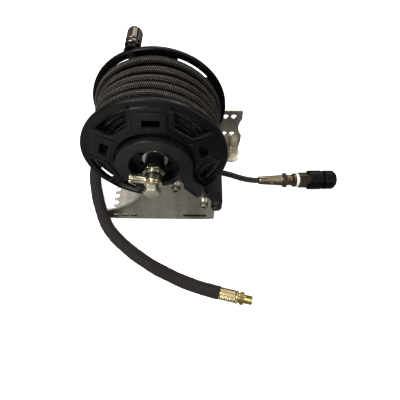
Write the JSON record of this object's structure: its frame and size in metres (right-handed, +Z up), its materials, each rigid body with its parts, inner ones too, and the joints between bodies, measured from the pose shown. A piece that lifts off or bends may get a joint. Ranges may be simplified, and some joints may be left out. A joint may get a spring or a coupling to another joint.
{
  "type": "hose reel",
  "caption": "Compact hand-cranked hose reel on a folded stainless bracket, with braided hose, roller guide, banjo inlet swivel, quick coupler and a loose sleeved lead-in hose",
  "frame": {"origin": "On the flat underside of the bracket, directly below the drum axis, in the plane of the front flange's rim", "axes": "+Z up; Y along the drum axis, +Y from the inlet side towards the crank side; +X towards the side where the delivery hose leaves"},
  "size_m": [0.442, 0.3661, 0.24],
  "materials": {
    "mounting_bracket": "brushed stainless sheet",
    "support_arm": "satin black casting",
    "arm_screws": "bright plated steel",
    "arm_washers": "bright plated steel",
    "sleeve_end_plate": "moulded black",
    "shaft_washer": "nickel plated",
    "sleeve_retaining_ring": "spring steel",
    "guide_front_bracket": "satin black",
    "guide_rear_bracket": "satin black",
    "guide_tie_bar": "satin black",
    "guide_screws": "blackened steel",
    "roller_pins": "grey plated steel",
    "upper_roller": "moulded",
    "lower_roller": "moulded",
    "ear_screw": "bright plated steel",
    "front_flange": "satin black moulding",
    "rear_flange": "satin black moulding",
    "drum_core": "black moulding",
    "drum_bushes": "natural acetal",
    "tie_bolts": "zinc plated",
    "rear_cover": "satin black moulding",
    "rear_cover_screws": "zinc plated",
    "swivel_shaft": "black oxide steel",
    "shaft_nut": "nickel plated",
    "inner_elbow": "machined",
    "inlet_hex": "nickel plated",
    "banjo_bolt": "nickel plated",
    "banjo_seals": "copper sealing rings",
    "inlet_banjo": "nickel plated",
    "wound_hose": "braided textile cover over rubber",
    "handle_boss": "moulded black",
    "handle_screw": "zinc plated",
    "handle_spindle": "nickel plated",
    "handle_grip": "dark nickel, ribbed",
    "handle_end_cap": "dark nickel",
    "outlet_hose": "braided textile cover over rubber",
    "outlet_ferrule": "knurled, nickel plated",
    "outlet_nut": "nickel plated",
    "seal_washer": "white nylon",
    "coupler_adapter": "nickel plated",
    "coupler_body": "black anodised",
    "coupler_sleeve": "black, knurled",
    "lead_hose": "woven textile sleeve over rubber",
    "lead_ferrule_front": "crimped",
    "lead_male_stem": "machined",
    "lead_ferrule_rear": "crimped",
    "lead_swivel_nut": "machined"
  },
  "bodies": {
    "stand": {"mounting_bracket": "mounting_bracket", "support_arm": "support_arm", "arm_screws": "arm_screws", "arm_washers": "arm_washers", "sleeve_end_plate": "sleeve_end_plate", "shaft_washer": "shaft_washer", "sleeve_retaining_ring": "sleeve_retaining_ring", "guide_front_bracket": "guide_front_bracket", "guide_rear_bracket": "guide_rear_bracket", "guide_tie_bar": "guide_tie_bar", "guide_screws": "guide_screws", "roller_pins": "roller_pins", "ear_screw": "ear_screw", "outlet_hose": "outlet_hose", "outlet_ferrule": "outlet_ferrule", "outlet_nut": "outlet_nut", "seal_washer": "seal_washer", "coupler_adapter": "coupler_adapter", "coupler_body": "coupler_body", "lead_hose": "lead_hose", "lead_ferrule_front": "lead_ferrule_front", "lead_male_stem": "lead_male_stem", "lead_ferrule_rear": "lead_ferrule_rear"},
    "drum": {"front_flange": "front_flange", "rear_flange": "rear_flange", "drum_core": "drum_core", "drum_bushes": "drum_bushes", "tie_bolts": "tie_bolts", "rear_cover": "rear_cover", "rear_cover_screws": "rear_cover_screws", "swivel_shaft": "swivel_shaft", "shaft_nut": "shaft_nut", "inner_elbow": "inner_elbow", "inlet_hex": "inlet_hex", "banjo_bolt": "banjo_bolt", "banjo_seals": "banjo_seals", "wound_hose": "wound_hose", "handle_boss": "handle_boss", "handle_screw": "handle_screw", "handle_spindle": "handle_spindle"},
    "inlet_swivel_body": {"inlet_banjo": "inlet_banjo"},
    "handle": {"handle_grip": "handle_grip", "handle_end_cap": "handle_end_cap"},
    "roller_high": {"upper_roller": "upper_roller"},
    "roller_low": {"lower_roller": "lower_roller"},
    "release_sleeve": {"coupler_sleeve": "coupler_sleeve"},
    "lead_nut": {"lead_swivel_nut": "lead_swivel_nut"}
  },
  "joints": [
    {"name": "drum_spin", "type": "hinge", "parent": "stand", "child": "drum", "pos_m": [0, 0, 0.14], "axis": [0, 1, 0], "continuous": true},
    {"name": "handle_spin", "type": "hinge", "parent": "drum", "child": "handle", "pos_m": [-0.03, 0, 0.228], "axis": [0, 1, 0], "continuous": true},
    {"name": "inlet_swivel", "type": "hinge", "parent": "stand", "child": "inlet_swivel_body", "pos_m": [0, 0, 0.14], "axis": [0, 1, 0], "continuous": true},
    {"name": "upper_roller_spin", "type": "hinge", "parent": "stand", "child": "roller_high", "pos_m": [0.088, 0, 0.0499], "axis": [0, 1, 0], "continuous": true},
    {"name": "lower_roller_spin", "type": "hinge", "parent": "stand", "child": "roller_low", "pos_m": [0.088, 0, 0.0331], "axis": [0, 1, 0], "continuous": true},
    {"name": "coupler_release", "type": "slide", "parent": "stand", "child": "release_sleeve", "axis": [-0.9997, -0.0262, 0], "range_m": [0, 0.004], "stiffness_N_per_m": 2000, "springref_m": -0.003},
    {"name": "lead_nut_spin", "type": "hinge", "parent": "stand", "child": "lead_nut", "pos_m": [-0.117, 0.158, 0.0101], "axis": [-0.2756, 0.9613, 0], "continuous": true}
  ]
}
